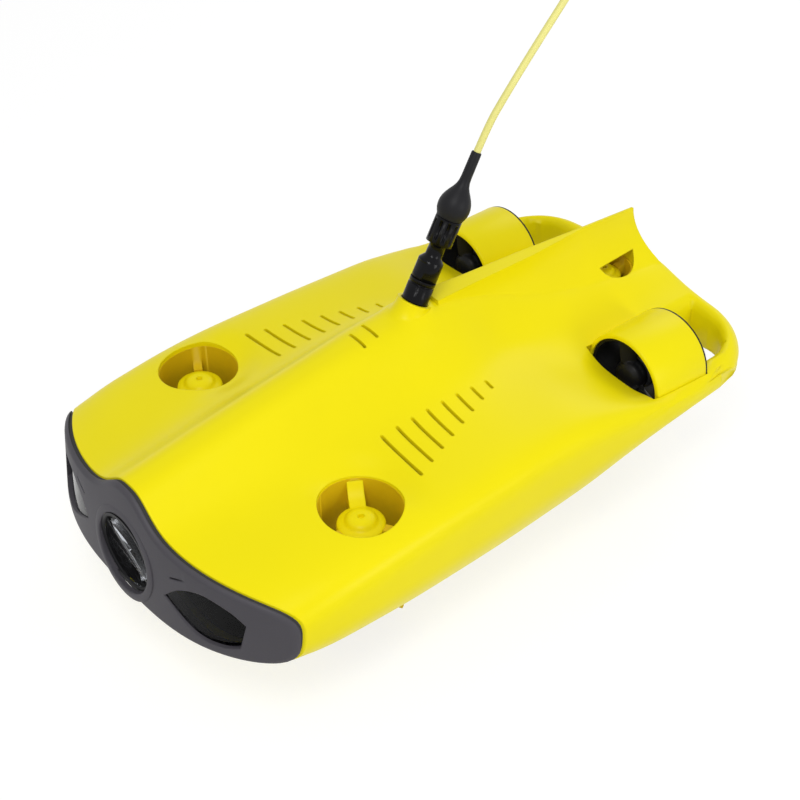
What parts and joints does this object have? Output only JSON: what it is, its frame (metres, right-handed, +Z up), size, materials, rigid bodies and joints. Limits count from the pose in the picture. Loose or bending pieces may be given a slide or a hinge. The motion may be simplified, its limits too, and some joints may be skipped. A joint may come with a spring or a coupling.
{
  "type": "underwater inspection vehicle",
  "caption": "Compact tethered underwater inspection vehicle with ducted thrusters, twin lamps, a nose camera and a tail fin.",
  "frame": {"origin": "under the middle of the hull, on the surface that the keel pad and the belly rails rest on", "axes": "+Z up, nose towards -Y, the vehicle's left side towards +X; the hull is symmetric about the plane x = 0"},
  "size_m": [0.2262, 0.3838, 0.3225],
  "materials": {
    "hull_yellow": "satin lemon-yellow moulded plastic with fine grain",
    "mask_grey": "fine-textured dark grey plastic",
    "trim_black": "black moulded nylon",
    "window_clear": "clear polycarbonate and coated optical glass",
    "motor_can": "potted grey motor can",
    "anodised_dark": "black hard-anodised tube",
    "seal_rubber": "matt black rubber",
    "connector_black": "smooth black moulded connector",
    "stainless": "passivated stainless steel",
    "insert_brass": "turned brass",
    "ballast_steel": "dipped steel bar",
    "board_green": "solder-masked circuit board",
    "cable_yellow": "soft foamed pale-yellow cable jacket"
  },
  "bodies": {
    "hull": {"upper_shell": "hull_yellow", "lower_shell": "hull_yellow", "nozzle_left": "hull_yellow", "nozzle_right": "hull_yellow", "duct_front_left": "hull_yellow", "duct_front_right": "hull_yellow", "duct_rear": "hull_yellow", "face_mask": "mask_grey", "nozzle_liner_left": "trim_black", "nozzle_liner_right": "trim_black", "camera_barrel": "trim_black", "camera_lens_body": "trim_black", "lamp_housing_left": "trim_black", "lamp_housing_right": "trim_black", "front_saddle": "trim_black", "rear_saddle": "trim_black", "battery_pack": "trim_black", "camera_window": "window_clear", "lamp_window_left": "window_clear", "lamp_window_right": "window_clear", "camera_lens": "window_clear", "motor_left": "motor_can", "motor_right": "motor_can", "motor_front_left": "motor_can", "motor_front_right": "motor_can", "motor_rear": "motor_can", "pressure_vessel": "anodised_dark", "front_end_cap": "anodised_dark", "rear_end_cap": "anodised_dark", "mask_gasket": "seal_rubber", "end_cap_seals": "seal_rubber", "belly_rail_left": "seal_rubber", "belly_rail_right": "seal_rubber", "keel_pad": "seal_rubber", "tether_socket": "connector_black", "shell_screws": "stainless", "accessory_insert": "insert_brass", "ballast_weights": "ballast_steel", "main_board": "board_green", "lamp_board_left": "board_green", "lamp_board_right": "board_green"},
    "propeller_left_body": {"propeller_left": "trim_black"},
    "propeller_right_body": {"propeller_right": "trim_black"},
    "propeller_front_left_body": {"propeller_front_left": "trim_black"},
    "propeller_front_right_body": {"propeller_front_right": "trim_black"},
    "propeller_rear_body": {"propeller_rear": "trim_black"},
    "tether_plug_body": {"tether_plug": "connector_black", "tether_boot": "seal_rubber", "tether_cable": "cable_yellow", "tether_ferrule": "stainless", "tether_ring": "stainless"},
    "coupling_nut_body": {"coupling_nut": "connector_black"}
  },
  "joints": [
    {"name": "propeller_front_left_spin", "type": "hinge", "parent": "hull", "child": "propeller_front_left_body", "pos_m": [0.0728, -0.0853, 0.066], "axis": [0, 0, 1], "continuous": true},
    {"name": "propeller_front_right_spin", "type": "hinge", "parent": "hull", "child": "propeller_front_right_body", "pos_m": [-0.0728, -0.0853, 0.066], "axis": [0, 0, 1], "continuous": true},
    {"name": "propeller_rear_spin", "type": "hinge", "parent": "hull", "child": "propeller_rear_body", "pos_m": [0, 0.16, 0.068], "axis": [0, 0, 1], "continuous": true},
    {"name": "propeller_left_spin", "type": "hinge", "parent": "hull", "child": "propeller_left_body", "pos_m": [0.0701, 0.1166, 0.0815], "axis": [0, 1, 0], "continuous": true},
    {"name": "propeller_right_spin", "type": "hinge", "parent": "hull", "child": "propeller_right_body", "pos_m": [-0.0701, 0.1166, 0.0815], "axis": [0, 1, 0], "continuous": true},
    {"name": "tether_plug_pull", "type": "slide", "parent": "hull", "child": "tether_plug_body", "axis": [0, 0.4894, 0.8721], "range_m": [0, 0.015]},
    {"name": "coupling_nut_turn", "type": "hinge", "parent": "tether_plug_body", "child": "coupling_nut_body", "pos_m": [0, 0.01364, 0.14723], "axis": [0, 0.4894, 0.8721], "continuous": true}
  ]
}
